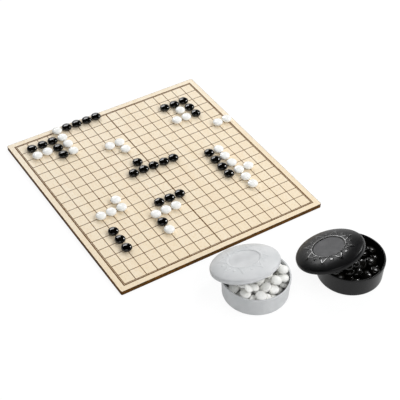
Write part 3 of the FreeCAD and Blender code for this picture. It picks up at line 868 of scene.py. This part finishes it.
def lamp(name, azimuth, elevation, distance, size, radiance, mirrored):
    """A rectangular soft box that faces the set. azimuth is its side in degrees, from the back edge
    towards the right; its power is what its area needs for its radiance, pi times area times radiance."""
    light = bpy.data.lights.new(name, "AREA")
    light.shape = "RECTANGLE"
    light.size, light.size_y = size
    light.energy = radiance * math.pi * size[0] * size[1]
    holder = bpy.data.objects.new(name, light)
    holder.visible_camera = False
    holder.visible_glossy = mirrored
    bpy.context.scene.collection.objects.link(holder)
    flat = math.cos(math.radians(elevation))
    out = np.array([flat * math.sin(math.radians(azimuth)), flat * math.cos(math.radians(azimuth)),
                    math.sin(math.radians(elevation))])
    holder.matrix_world = Matrix.Translation(np.array(LAMP_AIM) + out * distance) @ upright(out)


def white_floor():
    """Matt white paper, hung as a sweep. What the camera and reflections see of it is mostly its own
    white, so that it shows white with a faint shadow."""
    material, tree, shader = finish_of("white_paper_sweep", Base_Color=(0.88, 0.88, 0.88, 1), Roughness=0.9)
    rays = add(tree, "ShaderNodeLightPath").outputs
    seen = add(tree, "ShaderNodeMath", {0: rays["Is Camera Ray"], 1: rays["Is Glossy Ray"]},
               operation="MAXIMUM")
    seen = add(tree, "ShaderNodeMath", {0: seen.outputs[0], 1: rays["Is Transmission Ray"]},
               operation="MAXIMUM")
    own_white, strength = 0.85, 1.06
    part = add(tree, "ShaderNodeMath", {0: seen.outputs[0], 1: own_white}, operation="MULTIPLY")
    glow = add(tree, "ShaderNodeEmission", {"Color": (1, 1, 1, 1), "Strength": strength})
    add(tree, "ShaderNodeMixShader", {
        0: part.outputs[0], 1: shader.outputs["BSDF"], 2: glow.outputs["Emission"]},
        into=tree.get_output_node("ALL").inputs["Surface"])
    return material


def paper_sweep():
    """A round floor whose edge curves up into a low wall: its outline runs out flat, turns up a quarter
    circle and ends straight. Its faces look inwards and up."""
    bend = np.linspace(0, np.pi / 2, SWEEP_BEND_STEPS)
    radii = np.concatenate([SWEEP_RINGS, SWEEP_RADIUS + SWEEP_BEND * (np.sin(bend) - 1), [SWEEP_RADIUS]])
    heights = np.concatenate([[0, 0], SWEEP_BEND * (1 - np.cos(bend)), [SWEEP_TOP]])
    turn = bearings(SWEEP_SEGMENTS)
    radii, heights = radii[:, None], heights[:, None]
    rings = np.stack(np.broadcast_arrays(radii * np.cos(turn), radii * np.sin(turn), heights), axis=2)
    start = 1 + SWEEP_SEGMENTS * np.arange(len(rings))
    quads = joined(start[1:], start[:-1], SWEEP_SEGMENTS)
    here = np.arange(SWEEP_SEGMENTS)
    tris = np.stack([np.zeros_like(here), 1 + here, 1 + (here + 1) % SWEEP_SEGMENTS], axis=1)
    mesh = bpy.data.meshes.new("paper_sweep")
    mesh.from_pydata(np.concatenate([[[0, 0, 0]], rings.reshape(-1, 3)]), [], quads.tolist() + tris.tolist())
    mesh.shade_smooth()
    mesh.materials.append(white_floor())
    return bpy.data.objects.new("paper_sweep", mesh)


class GOSET_OT_stage(bpy.types.Operator):
    """Sets up the floor, the lamps and the camera"""
    bl_idname = "goset.stage"
    bl_label = "Stage"

    def execute(self, context):
        settings = context.scene.goset_stage
        scene = context.scene
        scene.view_settings.view_transform = "Standard"

        floor = paper_sweep()
        scene.collection.objects.link(floor)

        world = bpy.data.worlds.new("even_room")
        world.use_nodes = True
        tree = world.node_tree
        tree.nodes.clear()
        room = add(tree, "ShaderNodeBackground", {"Color": (0.96, 0.98, 1.0, 1), "Strength": settings.room})
        add(tree, "ShaderNodeOutputWorld", {"Surface": room.outputs["Background"]})
        scene.world = world
        world.cycles_visibility.glossy = False

        for name, (azimuth, elevation, distance, size, radiance, mirrored) in LAMPS.items():
            lamp(name, azimuth, elevation, distance, size, radiance, mirrored)

        out = (math.sin(settings.azimuth) * math.cos(settings.elevation),
               -math.cos(settings.azimuth) * math.cos(settings.elevation), math.sin(settings.elevation))
        camera = bpy.data.cameras.new("camera")
        camera.sensor_width = 36
        camera.lens = settings.lens
        camera.clip_end = 200
        holder = bpy.data.objects.new("camera", camera)
        scene.collection.objects.link(holder)
        roll = Matrix.Rotation(settings.roll, 4, "Z")
        holder.matrix_world = Matrix.Translation(settings.place) @ upright(out) @ roll
        scene.camera = holder
        return {"FINISHED"}


# ---- Add-on --------------------------------------------------------------------------------------
OPERATORS = (
    GOSET_OT_board,
    GOSET_OT_played_stones,
    GOSET_OT_kept_stones,
    GOSET_OT_tubs,
    GOSET_OT_lids,
    GOSET_OT_stage,
)
SETTINGS = {
    "goset_board": GOSET_board_settings,
    "goset_stones": GOSET_stone_settings,
    "goset_tubs": GOSET_tub_settings,
    "goset_stage": GOSET_stage_settings,
}


class GOSET_PT_panel(bpy.types.Panel):
    """Lists the pieces of the set"""
    bl_idname = "GOSET_PT_panel"
    bl_label = "Go Set"
    bl_space_type = "VIEW_3D"
    bl_region_type = "UI"
    bl_category = "Go Set"

    def draw(self, context):
        for operator in OPERATORS:
            self.layout.operator(operator.bl_idname)
        for name, group in SETTINGS.items():
            box = self.layout.box()
            for key in group.__annotations__:
                box.prop(getattr(context.scene, name), key)


def register():
    for kind in (*SETTINGS.values(), *OPERATORS, GOSET_PT_panel):
        bpy.utils.register_class(kind)
    for name, group in SETTINGS.items():
        setattr(bpy.types.Scene, name, bpy.props.PointerProperty(type=group))


def unregister():
    for name in SETTINGS:
        delattr(bpy.types.Scene, name)
    for kind in reversed((*SETTINGS.values(), *OPERATORS, GOSET_PT_panel)):
        bpy.utils.unregister_class(kind)


def main():
    register()
    bpy.ops.goset.board()
    bpy.ops.goset.played_stones()
    bpy.ops.goset.kept_stones()
    bpy.ops.goset.tubs()
    bpy.ops.goset.lids()
    bpy.ops.goset.stage()
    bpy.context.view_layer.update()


if __name__ == "__main__":
    main()
